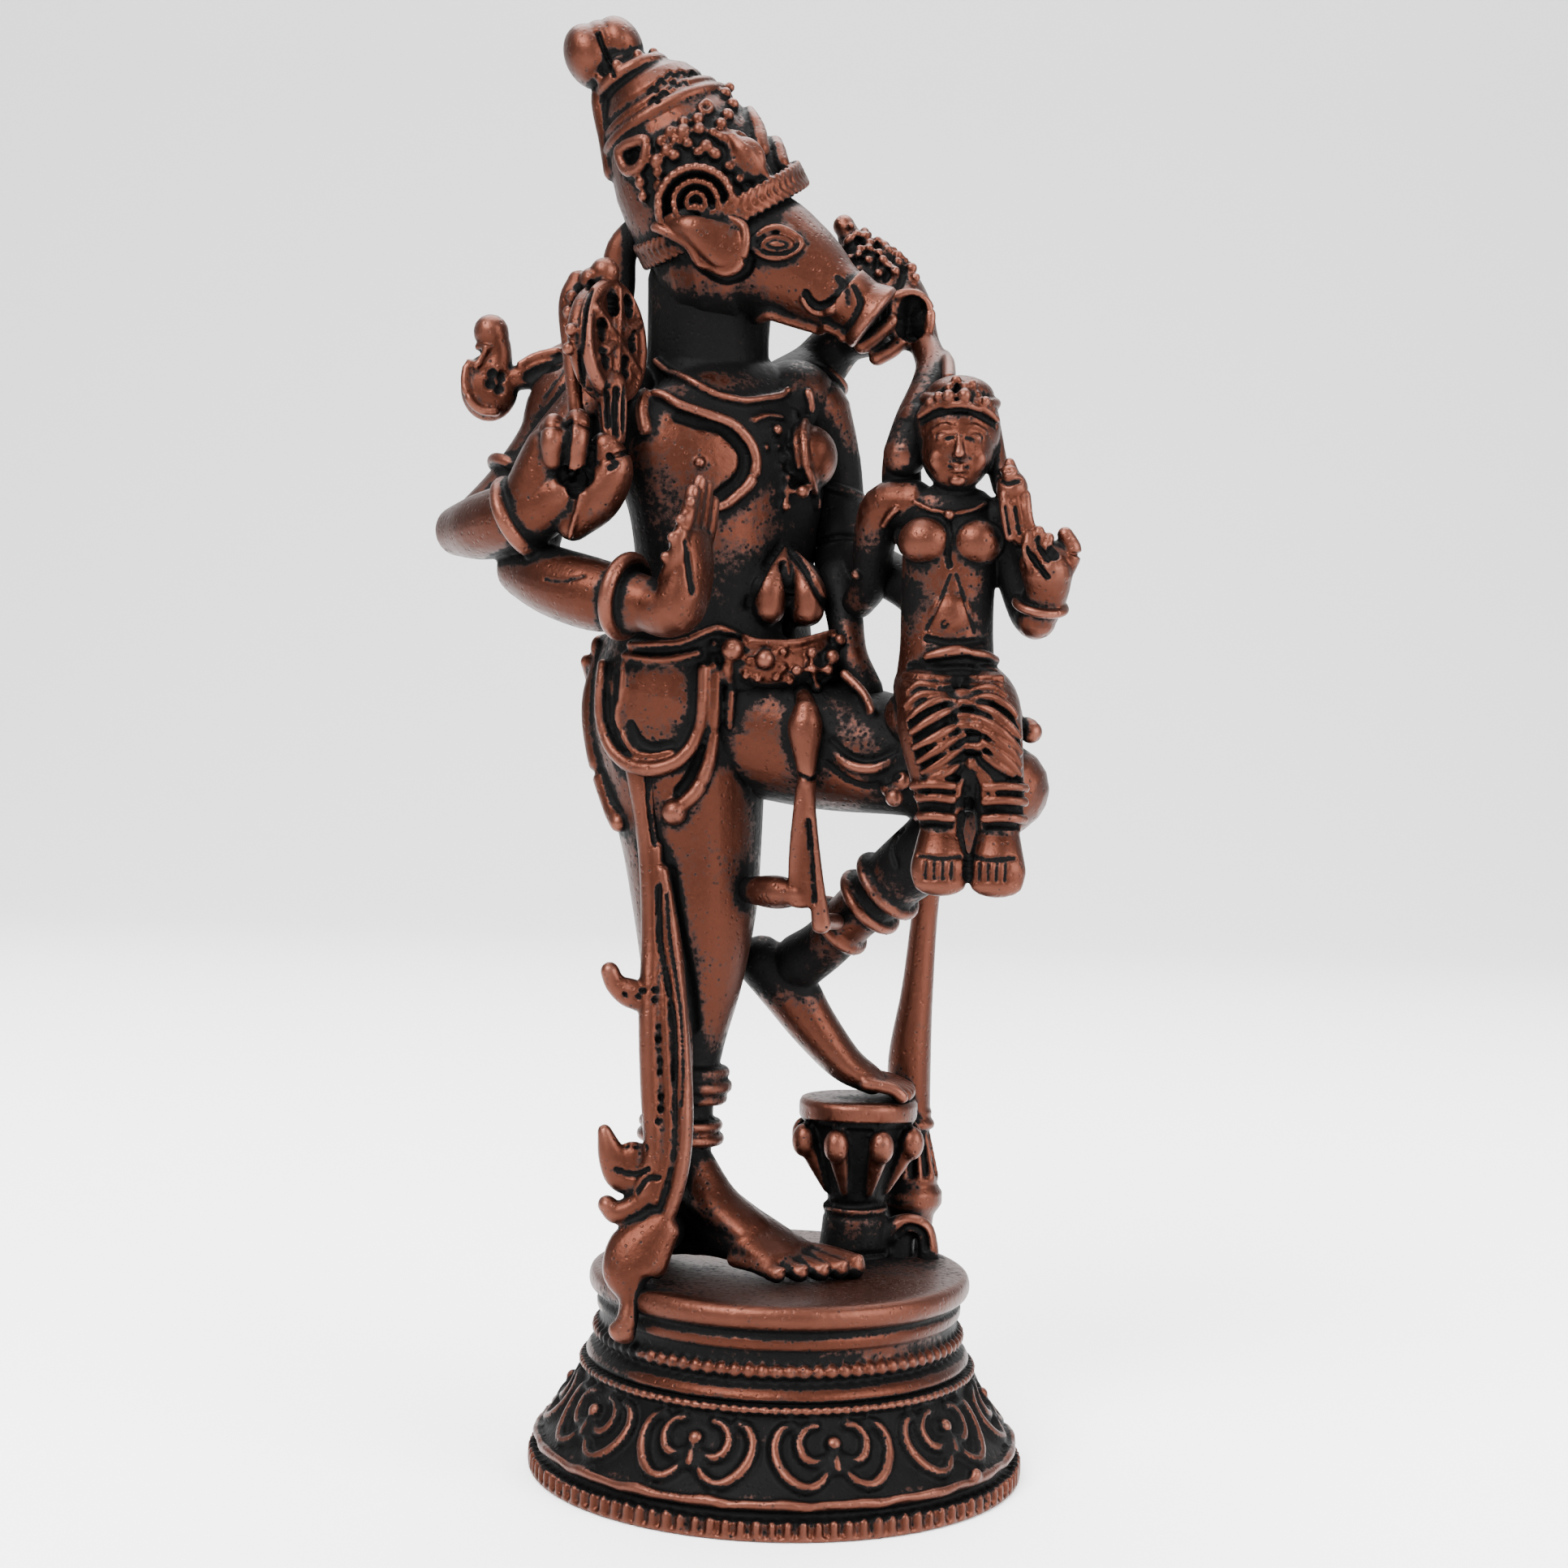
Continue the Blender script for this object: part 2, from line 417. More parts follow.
def right_arms(clay):
    """Rear right arm with the wheel and front right arm with the open palm."""
    ball(clay, (-12.6, 0.6, 69.6), (3.6, 3.4, 3.2))
    tube(clay, [(-12.5, 1.6, 70.2), (-15.6, 1.6, 69.8), (-17.0, 1.3, 67.0), (-19.3, 0.7, 63.8),
                (-22.0, -0.6, 60.8)], [3.0, 2.8, 2.25, 1.95, 1.7], sides=14)
    tube(clay, [(-22.4, -0.6, 60.9), (-20.4, -3.0, 61.0), (-17.8, -5.4, 61.5), (-15.4, -6.6, 62.6)],
         [1.75, 2.2, 2.25, 1.9], sides=14)
    hoop(clay, (-18.8, 0.9, 64.6), (0.5, 0.2, 0.85), 2.15, 0.45)
    hoop(clay, (-17.9, -5.4, 61.3), (0.85, -0.4, 0.45), 2.45, 0.5)
    tube(clay, [(-15.4, -6.6, 62.4), (-13.6, -7.2, 63.2), (-12.0, -7.4, 64.6)],
         [(2.1, 1.6), (2.4, 1.5), (1.7, 1.3)], side=(0.2, 0.2, 1.0), sides=14)
    for i in range(4):
        z = 66.6 - 0.95 * i
        tube(clay, [(-12.4, -8.0, z - 0.6), (-14.0, -8.9, z - 0.2), (-15.5, -8.2, z - 0.3),
                    (-15.6, -7.2, z - 0.8)], 0.55)
    tube(clay, [(-11.0, -7.2, 62.0), (-10.8, -7.8, 64.0), (-11.4, -8.2, 65.8)], [0.8, 0.75, 0.6])
    tube(clay, [(-13.0, -1.6, 69.0), (-16.2, -2.2, 65.0), (-17.6, -2.6, 61.2), (-17.7, -3.2, 58.5)],
         [2.9, 2.5, 2.2, 1.95], sides=14)
    tube(clay, [(-17.7, -3.2, 58.3), (-15.6, -5.2, 57.3), (-12.8, -7.0, 56.4), (-10.0, -8.2, 55.9)],
         [2.0, 2.25, 2.3, 1.85], sides=14)
    hoop(clay, (-10.9, -8.0, 56.3), (0.86, -0.42, -0.18), 2.35, 0.5)
    tube(clay, [(-9.8, -8.3, 55.8), (-7.8, -9.0, 55.6), (-6.9, -9.2, 57.6), (-6.8, -9.2, 59.8)],
         [(1.7, 1.6), (2.0, 1.8), (2.0, 1.3), (1.9, 0.95)], side=(0.45, 0.8, 0.0), sides=14)
    for i, top in enumerate((62.3, 63.2, 63.4, 62.7)):
        step = Vector((0.45, 0.8, 0.0)).normalized() * (1.5 - i)
        base = Vector((-6.9, -9.2, 59.4)) + step * 0.95
        tip = Vector((-6.2, -9.3, top)) + step * 0.8
        tube(clay, [base, (base + tip) / 2 + Vector((0.1, -0.1, 0)), tip], [0.62, 0.56, 0.48])
    tube(clay, [(-8.2, -9.6, 56.8), (-7.6, -10.6, 58.6), (-7.4, -10.8, 60.0)], [0.8, 0.65, 0.5])


def shoulder_ornament(clay):
    """Scrolled tassel standing off the right shoulder and the strap behind the head."""
    hoop(clay, (-15.9, 1.6, 70.6), (0.8, 0.1, -0.5), 3.0, (0.5, 0.8))
    tube(clay, [(-14.6, 1.6, 73.2), (-17.0, 1.8, 72.2), (-19.6, 1.9, 71.4)],
         [(1.5, 0.8), (1.3, 0.8), (0.8, 0.7)])
    ball(clay, (-21.2, 1.9, 70.8), (2.05, 1.0, 2.4))
    tube(clay, [(-20.8, 1.9, 71.8), (-20.7, 1.9, 73.0), (-21.2, 1.9, 74.5)], [1.2, 1.0, 1.25])
    tube(clay, [(-12.9, 1.4, 71.0), (-12.8, 1.2, 74.6), (-12.65, 1.0, 77.6), (-12.5, 0.8, 80.0),
                (-10.8, 0.4, 81.9)],
         [(0.9, 0.8), (1.0, 0.8), (1.1, 0.8), (1.1, 0.8), (1.0, 0.8)], side=(1, 0, 0))


def wheel(clay):
    """Spoked discus with a flame band, a top knob and a flared handle."""
    normal = Vector((0.9, -0.42, 0.05)).normalized()
    across = Vector((0.42, 0.9, 0.0)).normalized()
    centre = Vector((-12.6, -7.6, 72.4))
    hoop(clay, centre, normal, (2.85, 2.95), (0.6, 0.75), side=across)
    ball(clay, centre, (0.75, 0.75, 0.9), axis=normal, side=across)
    for i in range(6):
        w = math.radians(60 * i + 30)
        way = across * math.cos(w) + Vector((0, 0, 1)) * math.sin(w)
        tube(clay, [centre, centre + way * 2.7], [(0.34, 0.5)] * 2, side=normal, sides=8)
    hoop(clay, centre - normal * 0.8, normal, (2.9, 3.0), (0.5, 0.7), side=across)
    lathe(clay, [(-0.2, 2.7), (0.15, 2.7)], centre - normal * 1.0, normal, side=across)
    ball(clay, centre + Vector((-0.3, 0, 4.2)), (1.15, 1.0, 1.1))
    tube(clay, [(-14.2, -6.9, 76.0), (-14.6, -7.0, 74.2), (-14.3, -7.2, 71.0), (-13.9, -7.3, 67.2)],
         [(0.9, 0.7), (0.95, 0.7), (0.6, 0.6), (0.55, 0.6)], side=(1, 0, 0))
    tube(clay, [(-12.3, -7.7, 69.6), (-12.1, -7.8, 68.4), (-12.2, -7.8, 66.6)], [0.8, 1.1, 0.95])


def left_arms(clay):
    """Rear left arm raised with the conch and front left arm around the goddess."""
    ball(clay, (-0.8, 1.8, 70.2), (3.0, 3.2, 3.0))
    tube(clay, [(-1.4, 2.6, 70.8), (0.6, 4.2, 73.0), (2.4, 3.6, 75.0), (4.6, 1.6, 75.3)],
         [2.6, 2.0, 1.7, 1.6], sides=12)
    hoop(clay, (0.9, 3.9, 72.4), (0.4, 0.2, 0.9), 1.8, 0.35)
    tube(clay, [(0.3, 0.8, 69.6), (1.2, 0.6, 66.4), (1.7, 0.6, 62.4), (2.0, 0.2, 59.2)],
         [2.7, 2.25, 1.95, 1.8], sides=12)
    tube(clay, [(2.4, 0.2, 59.4), (4.9, -2.4, 59.0), (7.0, -5.0, 57.6), (8.4, -6.8, 55.8)],
         [1.8, 1.6, 1.45, 1.3], sides=12)
    hoop(clay, (1.5, 0.6, 64.6), (0.3, 0.0, 1.0), 2.1, 0.4)
    tube(clay, [(2.6, -0.8, 58.4), (3.0, -2.2, 55.6), (3.4, -3.0, 53.2), (4.4, -3.4, 51.0)],
         [1.5, 1.2, 1.15, 1.2])


def conch(clay):
    """Spiral shell held up at the end of the snout, mouth to the front."""
    tube(clay, [(2.1, 1.6, 82.9), (2.6, 1.4, 81.6), (3.4, 1.0, 80.3), (4.6, 0.5, 78.9),
                (5.7, 0.0, 77.5), (6.65, -0.6, 75.6), (7.9, -1.4, 73.6), (9.0, -2.0, 72.3)],
         [0.65, 0.8, 1.3, 1.8, 2.1, 1.7, 0.95, 0.6], side=(0, 1, 0), sides=14)
    ball(clay, (2.1, 1.6, 82.75), 0.88)
    way = Vector((5.0, -1.6, -5.8)).normalized()
    for spot, size in (((3.0, 1.1, 81.0), 1.15), ((3.7, 0.8, 80.0), 1.5), ((4.5, 0.5, 79.0), 1.85),
                       ((5.5, 0.2, 77.9), 2.1)):
        hoop(clay, spot, way, size, 0.36, side=(0, 1, 0))
    for i in range(3):
        tube(clay, [(4.0 + 1.3 * i, 0.6, 76.4 - 0.5 * i), (4.4 + 1.3 * i, -1.4, 75.6 - 0.6 * i),
                    (5.2 + 1.3 * i, -1.9, 75.0 - 0.6 * i)], 0.55)
    tube(clay, [(7.4, -1.6, 74.2), (8.1, -3.4, 72.2), (7.9, -5.2, 70.2), (7.0, -6.8, 68.0),
                (6.3, -7.8, 65.6)], [0.9, 1.1, 1.35, 1.35, 1.4])
    tube(clay, [(8.9, -2.6, 72.9), (9.0, -5.4, 71.9), (8.9, -8.4, 70.4)], 0.5)


def boar_head(clay):
    """Boar head in profile to the front's right, with ear, eye and cut-off snout."""
    ball(clay, (-6.2, -0.6, 80.6), (4.7, 4.4, 4.4))
    tube(clay, [(-6.4, -0.8, 79.2), (-3.6, -1.8, 79.4), (-1.0, -2.6, 78.2), (1.2, -3.4, 76.5),
                (3.0, -4.0, 75.2), (3.9, -4.3, 74.6)],
         [(4.6, 4.0), (4.3, 3.8), (3.5, 3.1), (2.55, 2.3), (2.0, 1.9), (1.95, 1.9)],
         side=(0.3, 0, 0.9), sides=16)
    snout = Vector((0.83, -0.2, -0.52)).normalized()
    lathe(clay, [(-0.5, 1.7), (-0.2, 2.1), (0.3, 2.2), (0.55, 1.8)], (4.2, -4.4, 74.5), snout, sides=16)
    tube(clay, [(-4.6, -2.6, 75.9), (-1.6, -4.2, 75.5), (0.6, -5.4, 75.0), (2.4, -5.8, 74.3)],
         [0.7, 0.5, 0.45, 0.4])
    eye = Vector((-2.0, -5.2, 79.3))
    ball(clay, eye + Vector((0, 0.7, 0)), (1.5, 0.9, 1.1))
    hoop(clay, eye + Vector((0, -0.1, 0)), (0.1, -1.0, 0.05), (1.35, 0.95), 0.3)
    ball(clay, eye, (0.6, 0.4, 0.45))
    tube(clay, [(-4.2, -5.1, 80.9), (-2.2, -5.6, 81.2), (-0.2, -5.0, 80.6)], 0.35)
    lathe(clay, [(-0.5, 1.3), (0.2, 2.2), (0.9, 2.3), (0.6, 1.6), (0.4, 0.8)], (-6.3, -5.4, 79.3),
          (-0.15, -1.0, -0.1), sides=16)
    tube(clay, [(-6.6, -5.2, 80.2), (-8.3, -5.6, 80.6), (-9.1, -5.6, 80.2)],
         [(1.2, 0.6), (0.8, 0.55), (0.4, 0.4)])
    tube(clay, [(-8.4, 2.2, 82.5), (-7.9, 3.0, 79.0), (-7.9, 3.4, 75.8), (-8.2, 3.2, 73.0)],
         [(2.6, 1.8), (2.2, 1.8), (2.5, 1.5), (2.8, 1.1)], side=(0.9, 0.4, 0))


def crown_point(along, across, out=0.0):
    """Point in the crown's own directions, out being towards the front."""
    return CROWN_ORIGIN + CROWN_AXIS * along + CROWN_ACROSS * across + Vector((0, -out, 0))


def crown(clay):
    """Tilted tall crown: braided band, leaf jewels, rosette, stepped dome and ball finial."""
    base = crown_point(0, 1.3)
    lathe(clay, [(0.0, 5.0), (1.6, 5.6), (3.5, 5.75), (5.5, 5.6), (7.5, 5.2), (9.0, 4.4), (9.3, 3.4)],
          base + CROWN_ACROSS * 0.2, CROWN_AXIS, side=CROWN_ACROSS, squash=0.9)
    hoop(clay, base + CROWN_AXIS * 1.6 + CROWN_ACROSS * 0.4, CROWN_AXIS, (5.6, 5.0), (0.45, 0.75),
         side=CROWN_ACROSS, count=40)
    hoop(clay, base + CROWN_AXIS * 9.2, CROWN_AXIS, (3.9, 3.5), (0.55, 0.5), side=CROWN_ACROSS)
    lathe(clay, [(8.6, 3.3), (10.2, 3.5), (11.3, 3.0), (12.1, 2.0), (12.3, 1.0)],
          base, CROWN_AXIS, side=CROWN_ACROSS, squash=0.95)
    hoop(clay, crown_point(12.5, 0.7), CROWN_AXIS, 2.0, 0.65, side=CROWN_ACROSS)
    ball(clay, crown_point(14.7, -0.15), (2.45, 2.3, 2.3), axis=CROWN_AXIS, side=CROWN_ACROSS)
    tube(clay, [crown_point(11.4, 0.7), crown_point(14.0, 0.2)], [2.4, 1.7])
    tube(clay, [crown_point(13.0, -0.8), crown_point(11.8, -1.7), crown_point(9.3, -2.45),
                crown_point(7.4, -3.1)], 0.75)
    for turn, size in ((-88, 1.0), (-40, 1.1), (8, 1.0), (150, 0.9), (100, 0.9), (55, 0.9)):
        w = math.radians(turn)
        out = CROWN_ACROSS * math.cos(w) + Vector((0, 1, 0)) * math.sin(w)
        foot = base + out * 5.0 + CROWN_AXIS * 2.6
        tube(clay, [foot, foot + CROWN_AXIS * 1.7 * size + out * 0.25, foot + CROWN_AXIS * 3.6 * size],
             [(1.15 * size, 0.7), (1.2 * size, 0.7), (0.4, 0.45)], side=CROWN_AXIS.cross(out))
    rosette = crown_point(1.6, 0.7, 4.3)
    for size in (2.35, 1.55, 0.8):
        hoop(clay, rosette, (0.0, -1.0, 0.1), size, 0.32)


def goddess(clay):
    """Small goddess seated on the raised thigh, facing the front."""
    ball(clay, (9.7, -9.1, 66.2), (2.35, 2.3, 2.9))
    ball(clay, (9.6, -8.6, 67.4), (2.6, 2.6, 2.9))
    tube(clay, [(9.4, -8.8, 64.4), (9.3, -8.6, 61.6)], [1.3, 1.6])
    tube(clay, [(9.3, -8.6, 62.2), (9.3, -8.7, 59.8), (9.2, -8.6, 56.6), (9.25, -8.4, 53.4),
                (9.3, -8.2, 50.8)],
         [(2.9, 1.7), (3.0, 2.0), (2.9, 1.9), (2.9, 2.3), (3.1, 2.9)], side=(1, 0, 0), sides=16)
    for x in (7.8, 10.8):
        ball(clay, (x, -10.3, 60.4), (1.5, 1.35, 1.45))
    tube(clay, [(6.9, -8.2, 62.6), (5.1, -7.3, 62.4), (4.6, -6.0, 60.2), (4.5, -4.4, 58.0),
                (3.8, -3.0, 56.8)], [1.5, 1.45, 1.35, 1.25, 1.1])
    tube(clay, [(7.0, -7.6, 68.2), (6.2, -7.2, 65.6), (6.4, -7.0, 62.8), (7.6, -6.8, 60.4)],
         [(1.2, 1.0), (1.3, 1.0), (1.4, 0.9), (1.6, 0.8)])
    tube(clay, [(11.4, -7.4, 67.6), (11.3, -7.2, 65.0), (11.2, -7.0, 62.0)], [0.9, 0.9, 0.9])
    tube(clay, [(12.1, -8.6, 61.8), (13.4, -8.6, 58.8), (14.3, -8.9, 56.2), (14.6, -9.8, 55.4)],
         [1.35, 1.2, 1.15, 1.2])
    tube(clay, [(14.6, -9.8, 55.6), (15.3, -10.8, 57.0), (15.3, -11.0, 58.2)], [1.25, 1.35, 1.5])
    hoop(clay, (14.8, -10.5, 56.7), (0.2, -0.5, 0.85), 1.3, 0.35)
    ball(clay, (15.3, -11.0, 58.7), (1.7, 1.0, 1.4))
    for i in range(4):
        tube(clay, [(14.1 + 0.62 * i, -11.7, 58.9), (13.9 + 0.7 * i, -12.0, 60.0),
                    (14.0 + 0.68 * i, -11.6, 60.6 - 0.15 * i)], 0.4)
    ball(clay, (12.9, -11.0, 63.6), (0.95, 0.9, 1.5))
    tube(clay, [(12.8, -11.0, 62.6), (13.2, -11.2, 60.8), (14.2, -11.2, 59.2)], [0.55, 0.5, 0.6])
    hoop(clay, (9.7, -8.8, 68.2), (0.0, -0.25, 1.0), (2.55, 2.5), (0.4, 0.5))
    ball(clay, (9.9, -11.2, 69.1), (0.9, 0.5, 0.7))
    ball(clay, (9.7, -8.6, 69.8), (1.6, 1.6, 1.2))
    hoop(clay, (9.3, -8.8, 62.0), (0.0, -0.45, 0.9), (1.9, 1.6), 0.32)
    ball(clay, (9.2, -10.6, 61.4), 0.4)
    hoop(clay, (9.3, -8.5, 53.9), (0.0, -0.1, 1.0), (2.95, 2.4), (0.35, 0.45))
    ball(clay, (9.1, -11.0, 53.6), 0.5)


def goddess_lap(clay):
    """Pleated skirt over thighs and shins, ankle bands and two feet hanging down."""
    for side, hip, knee, low in ((-1, 7.9, 8.1, 9.0), (1, 10.9, 11.7, 12.3)):
        tube(clay, [(hip, -7.6, 51.2), (knee, -10.4, 50.4), (knee + 0.05, -12.2, 48.8),
                    ((knee + low) / 2, -12.6, 46.4), (low, -12.6, 44.0), (low, -12.5, 41.6)],
             [(1.9, 2.1), (1.9, 2.0), (1.95, 1.7), (1.75, 1.4), (1.5, 1.25), (1.2, 1.1)],
             side=(1, 0, 0), steps=3, sides=14)
        for i in range(5):
            z = 50.6 - 1.3 * i
            x = knee - side * 0.2
            out = side * (1.55 + 0.12 * i)
            tube(clay, [(x + out, -12.2 + 0.2 * side, z + 0.5), (x, -13.6, z - 0.2),
                        (x - out * 0.9, -13.0, z - 1.3)], 0.34)
        for z in (44.3, 43.1):
            hoop(clay, (low, -12.5, z), (0, 0, 1), (1.6, 1.35), 0.35)
        tube(clay, [(low, -12.4, 41.4), (low, -13.2, 40.4), (low + 0.05 * side, -14.6, 40.1)],
             [(1.3, 1.3), (1.6, 1.2), (1.75, 0.85)], side=(1, 0, 0), sides=14)
        for i in range(5):
            x = low + 0.05 * side + (i - 2) * 0.68
            tube(clay, [(x, -14.8, 40.0), (x, -15.75 + 0.18 * abs(i - 2), 39.75)], [0.4, 0.42])
    tube(clay, [(10.0, -12.6, 50.6), (10.1, -13.3, 48.0), (10.4, -12.9, 45.0), (10.5, -12.4, 43.6)],
         [(0.9, 0.6), (0.8, 0.6), (1.2, 0.5), (1.5, 0.4)], side=(1, 0, 0))
    ball(clay, (9.9, -7.0, 49.4), (4.4, 3.4, 2.6))
    tube(clay, [(12.6, -6.0, 48.2), (14.4, -6.6, 48.8), (14.8, -6.9, 48.4)], [0.9, 0.6, 0.65])
    for spot in ((6.0, -6.9, 44.8), (6.8, -7.4, 45.3), (6.3, -7.5, 44.2)):
        ball(clay, spot, 0.62)


def thigh_cloth(clay):
    """Cloth edges over the raised thigh, below the belt."""
    tube(clay, [(2.0, -5.6, 47.4), (3.4, -6.6, 46.2), (5.0, -7.0, 46.0), (6.6, -7.0, 46.8)], 0.42)
    tube(clay, [(3.0, -4.8, 52.0), (4.2, -5.4, 50.8), (4.8, -6.2, 49.6)], 0.4)


def stool(clay):
    """Lotus stool under the raised foot, with petals, waist and a scroll at its foot."""
    x, y = 5.0, 4.0
    lathe(clay, [(22.4, 3.7), (22.7, 4.05), (23.4, 4.05), (23.8, 3.8)], (x, y, 0), (0, 0, 1))
    lathe(clay, [(12.6, 2.3), (13.4, 2.4), (14.4, 2.3), (15.6, 2.2), (16.4, 1.8), (17.4, 2.0),
                 (19.6, 2.7), (22.6, 3.4)], (x, y, 0), (0, 0, 1))
    for i in range(8):
        w = math.radians(45 * i - 22.5)
        out = Vector((math.cos(w), math.sin(w), 0))
        mid = Vector((x, y, 0))
        tube(clay, [mid + out * 3.9 + Vector((0, 0, 21.3)), mid + out * 3.2 + Vector((0, 0, 19.8)),
                    mid + out * 2.1 + Vector((0, 0, 17.6))], [(0.85, 0.8), (0.75, 0.7), (0.4, 0.4)],
             side=(-out.y, out.x, 0))
    hoop(clay, (x, y, 16.3), (0, 0, 1), 1.95, 0.35)
    hoop(clay, (x, y, 13.4), (0, 0, 1), 2.2, 0.4)
    tube(clay, [(6.8, 3.6, 14.4), (8.2, 3.6, 15.3), (9.6, 3.6, 15.1), (10.0, 3.6, 13.8), (10.0, 3.6, 12.9)],
         [0.9, 0.75, 0.7, 0.75, 0.8])
    tube(clay, [(8.0, 4.2, 12.8), (8.2, 4.2, 14.4)], [1.1, 0.9])


def mace(clay):
    """Club standing behind the stool, swelling downwards to a ringed bulb."""
    tube(clay, [(10.2, 2.0, 44.6), (9.9, 5.4, 40.6), (9.4, 7.4, 37.0), (9.0, 7.8, 31.0), (8.6, 8.0, 26.0),
                (8.7, 8.0, 22.4)], [0.9, 0.9, 0.9, 1.1, 1.5, 1.45])
    lathe(clay, [(12.8, 1.6), (14.2, 1.6), (15.2, 1.7), (16.0, 2.25), (16.8, 2.25), (17.6, 1.75),
                 (18.6, 1.35), (20.4, 1.1), (21.6, 1.2), (22.4, 1.4)], (8.9, 8.0, 0), (0, 0, 1), sides=16)
    hoop(clay, (8.8, 8.0, 21.5), (0, 0, 1), 1.35, 0.4)
    hoop(clay, (8.9, 8.0, 17.7), (0, 0, 1), 1.65, 0.35)


def back_details(clay):
    """Plainer carving at the back: cloth knot, two sash tails and a hip swag."""
    back = -CHEST_FACE
    hub = Vector((-8.2, 4.6, 53.6))
    ball(clay, hub + back * 0.6, (1.7, 1.2, 1.3), side=CHEST_SIDE)
    for lean in (-1, 1):
        tube(clay, [hub + CHEST_SIDE * lean * 0.8, hub + CHEST_SIDE * lean * 1.6 + Vector((0, 0.7, -4.0)),
                    hub + CHEST_SIDE * lean * 1.3 + Vector((0.4, 0.2, -8.2))],
             [(0.8, 0.6), (1.1, 0.6), (1.0, 0.6)], side=CHEST_SIDE)
    tube(clay, [(-14.0, 1.0, 52.6), (-13.0, 4.0, 49.8), (-9.6, 6.0, 48.6), (-5.2, 5.6, 49.0),
                (-1.6, 3.6, 50.4)], 0.5)


def fuse(clay):
    """Fuse every shape of the figures into one faceted skin."""
    figure = bpy.data.objects.new("figures", clay.mesh("figures", figure_place))
    bpy.context.scene.collection.objects.link(figure)
    remesh = figure.modifiers.new("fuse", "REMESH")
    remesh.mode = "VOXEL"
    remesh.voxel_size = VOXEL
    soften = figure.modifiers.new("soften", "SMOOTH")
    soften.factor = 0.35
    soften.iterations = 2
    baked = flatten(figure, "figures_skin")
    thin = baked.modifiers.new("facet", "DECIMATE")
    thin.ratio = min(1.0, FIGURE_TRIANGLES / max(1, count_triangles(baked.data)))
    return flatten(baked, "figures_faceted")


def count_triangles(mesh):
    """Number of triangles in a mesh."""
    return sum(len(p.vertices) - 2 for p in mesh.polygons)


def flatten(source, name):
    """Bake an object's modifiers into a new object and drop the old one."""
    view = bpy.context.evaluated_depsgraph_get()
    mesh = bpy.data.meshes.new_from_object(source.evaluated_get(view))
    mesh.name = name
    result = bpy.data.objects.new(name, mesh)
    bpy.context.scene.collection.objects.link(result)
    bpy.data.objects.remove(source, do_unlink=True)
    return result


def plinth_profile():
    """Outline of the plinth as radius and height, from the underside up."""
    rim_low = TOP_GROOVE_HEIGHT + TOP_GROOVE_SLOPE
    edge = min(TOP_EDGE_ROUND, (PLINTH_HEIGHT - rim_low) / 3)
    return [
        (PLINTH_RADIUS, 0.0),
        (PLINTH_RADIUS, RIM_HEIGHT),
        (RIDGE_RADIUS - RIM_GROOVE_DEPTH, RIM_HEIGHT + SOFT_EDGE),
        (RIDGE_RADIUS, (RIM_HEIGHT + RIDGE_TOP) / 2),
        (RIDGE_RADIUS - SOFT_EDGE, RIDGE_TOP),
        (PETAL_FOOT_RADIUS, PETAL_FOOT_HEIGHT),
        (PETAL_HEAD_RADIUS, PETAL_HEAD_HEIGHT),
        (LOWER_BEAD_RADIUS, LOWER_BEAD_HEIGHT),
        (TORUS_RADIUS, TORUS_HEIGHT - SOFT_EDGE),
        (TORUS_RADIUS - SOFT_EDGE / 2, TORUS_HEIGHT + SOFT_EDGE),
        (NECK_RADIUS + SOFT_EDGE, BEAD_ROW_HEIGHT - 2.3 * BEAD_ROW_HALF),
        (BEAD_ROW_RADIUS, BEAD_ROW_HEIGHT - BEAD_ROW_HALF),
        (BEAD_ROW_RADIUS, BEAD_ROW_HEIGHT + BEAD_ROW_HALF),
        (NECK_RADIUS, BEAD_ROW_HEIGHT + 2 * BEAD_ROW_HALF),
        (NECK_RADIUS, COLLAR_HEIGHT - COLLAR_DROP),
        (COLLAR_RADIUS, COLLAR_HEIGHT),
        (NECK_RADIUS + SOFT_EDGE / 2, TOP_GROOVE_HEIGHT),
        (TOP_RIM_RADIUS - SOFT_EDGE, rim_low),
        (TOP_RIM_RADIUS, (rim_low + PLINTH_HEIGHT) / 2),
        (TOP_RIM_RADIUS - SOFT_EDGE / 2, PLINTH_HEIGHT - edge),
        (TOP_FACE_RADIUS, PLINTH_HEIGHT),
    ]


def band_radius(height):
    """Radius of the sloping petal band at a height."""
    share = (height - PETAL_FOOT_HEIGHT) / (PETAL_HEAD_HEIGHT - PETAL_FOOT_HEIGHT)
    share = min(1.0, max(0.0, share))
    bow = BAND_BOW * 4.0 * share * (1.0 - share)
    return PETAL_FOOT_RADIUS + (PETAL_HEAD_RADIUS - PETAL_FOOT_RADIUS) * share - bow


def petal_loops():
    """Loops of one lotus motif: share of its size, lift above the band, and open sides."""
    lift = PETAL_WIRE
    return [
        (1.0, 0.0, ()),
        (0.86, lift, (8,)),
        (0.7, 0.0, ()),
        (0.54, lift * 0.9, (8,)),
        (0.38, 0.0, ()),
        (0.2, lift, ()),
    ]


def stitch(faces, low, high):
    """Quads between two loops with the same number of points."""
    count = len(low)
    for k in range(count):
        faces.append((low[k], low[(k + 1) % count], high[(k + 1) % count], high[k]))


def turned_ring(verts, radius, height):
    """Add one ring of the turned plinth and return its indices."""
    steps = PETAL_COUNT * CELL_SIDES
    start = len(verts)
    for k in range(steps):
        angle = PETAL_START_ANGLE + 2 * math.pi * (k / steps - 0.5 / PETAL_COUNT)
        verts.append(Vector((radius * math.sin(angle), -radius * math.cos(angle), height)))
    return list(range(start, start + steps))


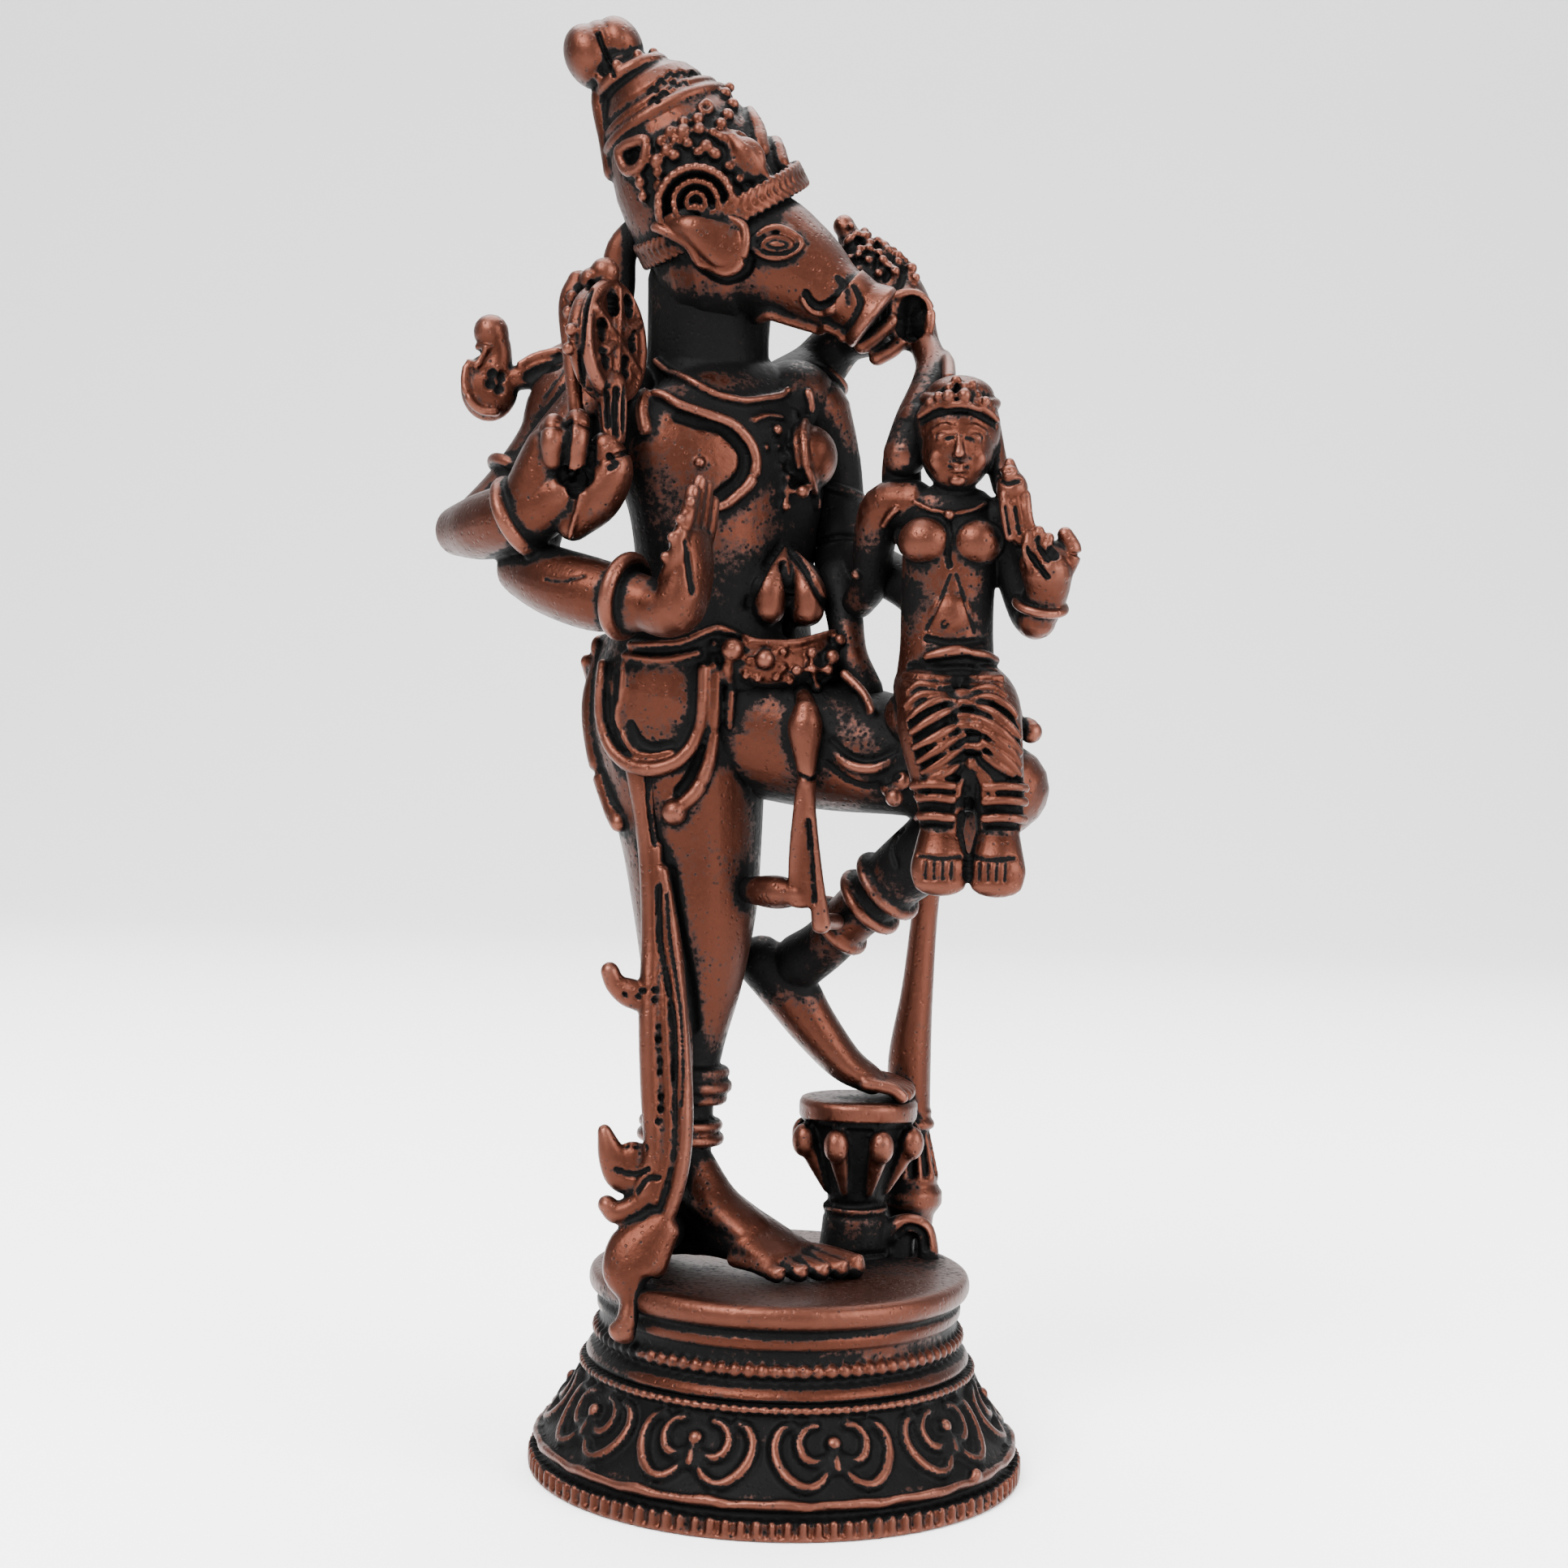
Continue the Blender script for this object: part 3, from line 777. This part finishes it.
def petal_cell(verts, faces, index, border):
    """One lotus motif raised inside its cell of the sloping band."""
    mid = (PETAL_FOOT_HEIGHT + PETAL_HEAD_HEIGHT) / 2
    turn = PETAL_START_ANGLE + 2 * math.pi * index / PETAL_COUNT

    def spot(across, up, lift):
        height = mid + up * PETAL_RISE / 2
        radius = band_radius(height) + lift
        angle = turn + across * PETAL_WIDTH / 2 / band_radius(mid)
        verts.append(Vector((radius * math.sin(angle), -radius * math.cos(angle), height)))
        return len(verts) - 1

    outer = border
    for size, lift, openings in petal_loops():
        loop = []
        for k, degrees in enumerate((225, 247, 270, 293, 315, 0, 45, 67, 90, 113, 135, 180)):
            w = math.radians(degrees)
            rise = 0.0 if k in openings else lift
            loop.append(spot(size * math.cos(w), size * math.sin(w), rise))
        stitch(faces, outer, loop)
        outer = loop
    peak = spot(0.0, 0.0, PETAL_WIRE * 1.2)
    for k in range(len(outer)):
        faces.append((outer[k], outer[(k + 1) % len(outer)], peak))


def plinth_body():
    """Turned plinth with its band of lotus motifs as one closed mesh object."""
    verts, faces = [], []
    profile = plinth_profile()
    foot = profile.index((PETAL_FOOT_RADIUS, PETAL_FOOT_HEIGHT))
    lower = [turned_ring(verts, r, h) for r, h in profile[:foot + 1]]
    upper = [turned_ring(verts, r, h) for r, h in profile[foot + 1:]]
    for rings in (lower, upper):
        for low, high in zip(rings, rings[1:]):
            stitch(faces, low, high)
    mid = (PETAL_FOOT_HEIGHT + PETAL_HEAD_HEIGHT) / 2
    seam = []
    for index in range(PETAL_COUNT):
        angle = PETAL_START_ANGLE + 2 * math.pi * (index - 0.5) / PETAL_COUNT
        seam.append(len(verts))
        verts.append(Vector((band_radius(mid) * math.sin(angle), -band_radius(mid) * math.cos(angle), mid)))
    steps = PETAL_COUNT * CELL_SIDES
    for index in range(PETAL_COUNT):
        spots = [(index * CELL_SIDES + k) % steps for k in range(CELL_SIDES + 1)]
        border = [lower[-1][k] for k in spots] + [seam[(index + 1) % PETAL_COUNT]]
        border += [upper[0][k] for k in reversed(spots)] + [seam[index]]
        petal_cell(verts, faces, index, border)
    faces.append(tuple(reversed(lower[0])))
    faces.append(tuple(upper[-1]))
    mesh = bpy.data.meshes.new("plinth")
    mesh.from_pydata(verts, [], faces)
    mesh.update()
    plinth = bpy.data.objects.new("plinth", mesh)
    bpy.context.scene.collection.objects.link(plinth)
    return plinth


def join_solids(base, others):
    """Boolean union of the plinth with the other solids, kept as one body."""
    for other in others:
        cut = base.modifiers.new("join", "BOOLEAN")
        cut.operation = "UNION"
        cut.solver = "EXACT"
        cut.use_self = True
        cut.object = other
        other.hide_render = True
        other.display_type = "WIRE"
    joined = flatten(base, "varaha_lakshmi_casting")
    for other in others:
        bpy.data.objects.remove(other, do_unlink=True)
    return joined


def copper():
    """Antiqued copper finish."""
    finish = bpy.data.materials.new("antiqued_copper")
    finish.use_nodes = True
    shader = finish.node_tree.nodes["Principled BSDF"]
    shader.inputs["Base Color"].default_value = (0.23, 0.075, 0.04, 1.0)
    shader.inputs["Metallic"].default_value = 1.0
    shader.inputs["Roughness"].default_value = 0.42
    return finish


def build_figures():
    """Model both figures and everything they carry."""
    clay = Clay()
    for step in (standing_leg, raised_leg, torso, torso_ornaments, hip_drape, side_sash,
                 centre_sash, right_arms, shoulder_ornament, wheel, left_arms, conch, boar_head,
                 crown, goddess, goddess_lap, thigh_cloth, stool, mace, back_details):
        step(clay)
    return fuse(clay)


def main():
    """Clear the scene and build the casting."""
    for item in list(bpy.data.objects):
        bpy.data.objects.remove(item, do_unlink=True)
    figures = build_figures()
    plinth = plinth_body()
    casting = join_solids(plinth, [figures])
    casting.data.materials.clear()
    casting.data.materials.append(copper())
    for face in casting.data.polygons:
        face.material_index = 0


main()
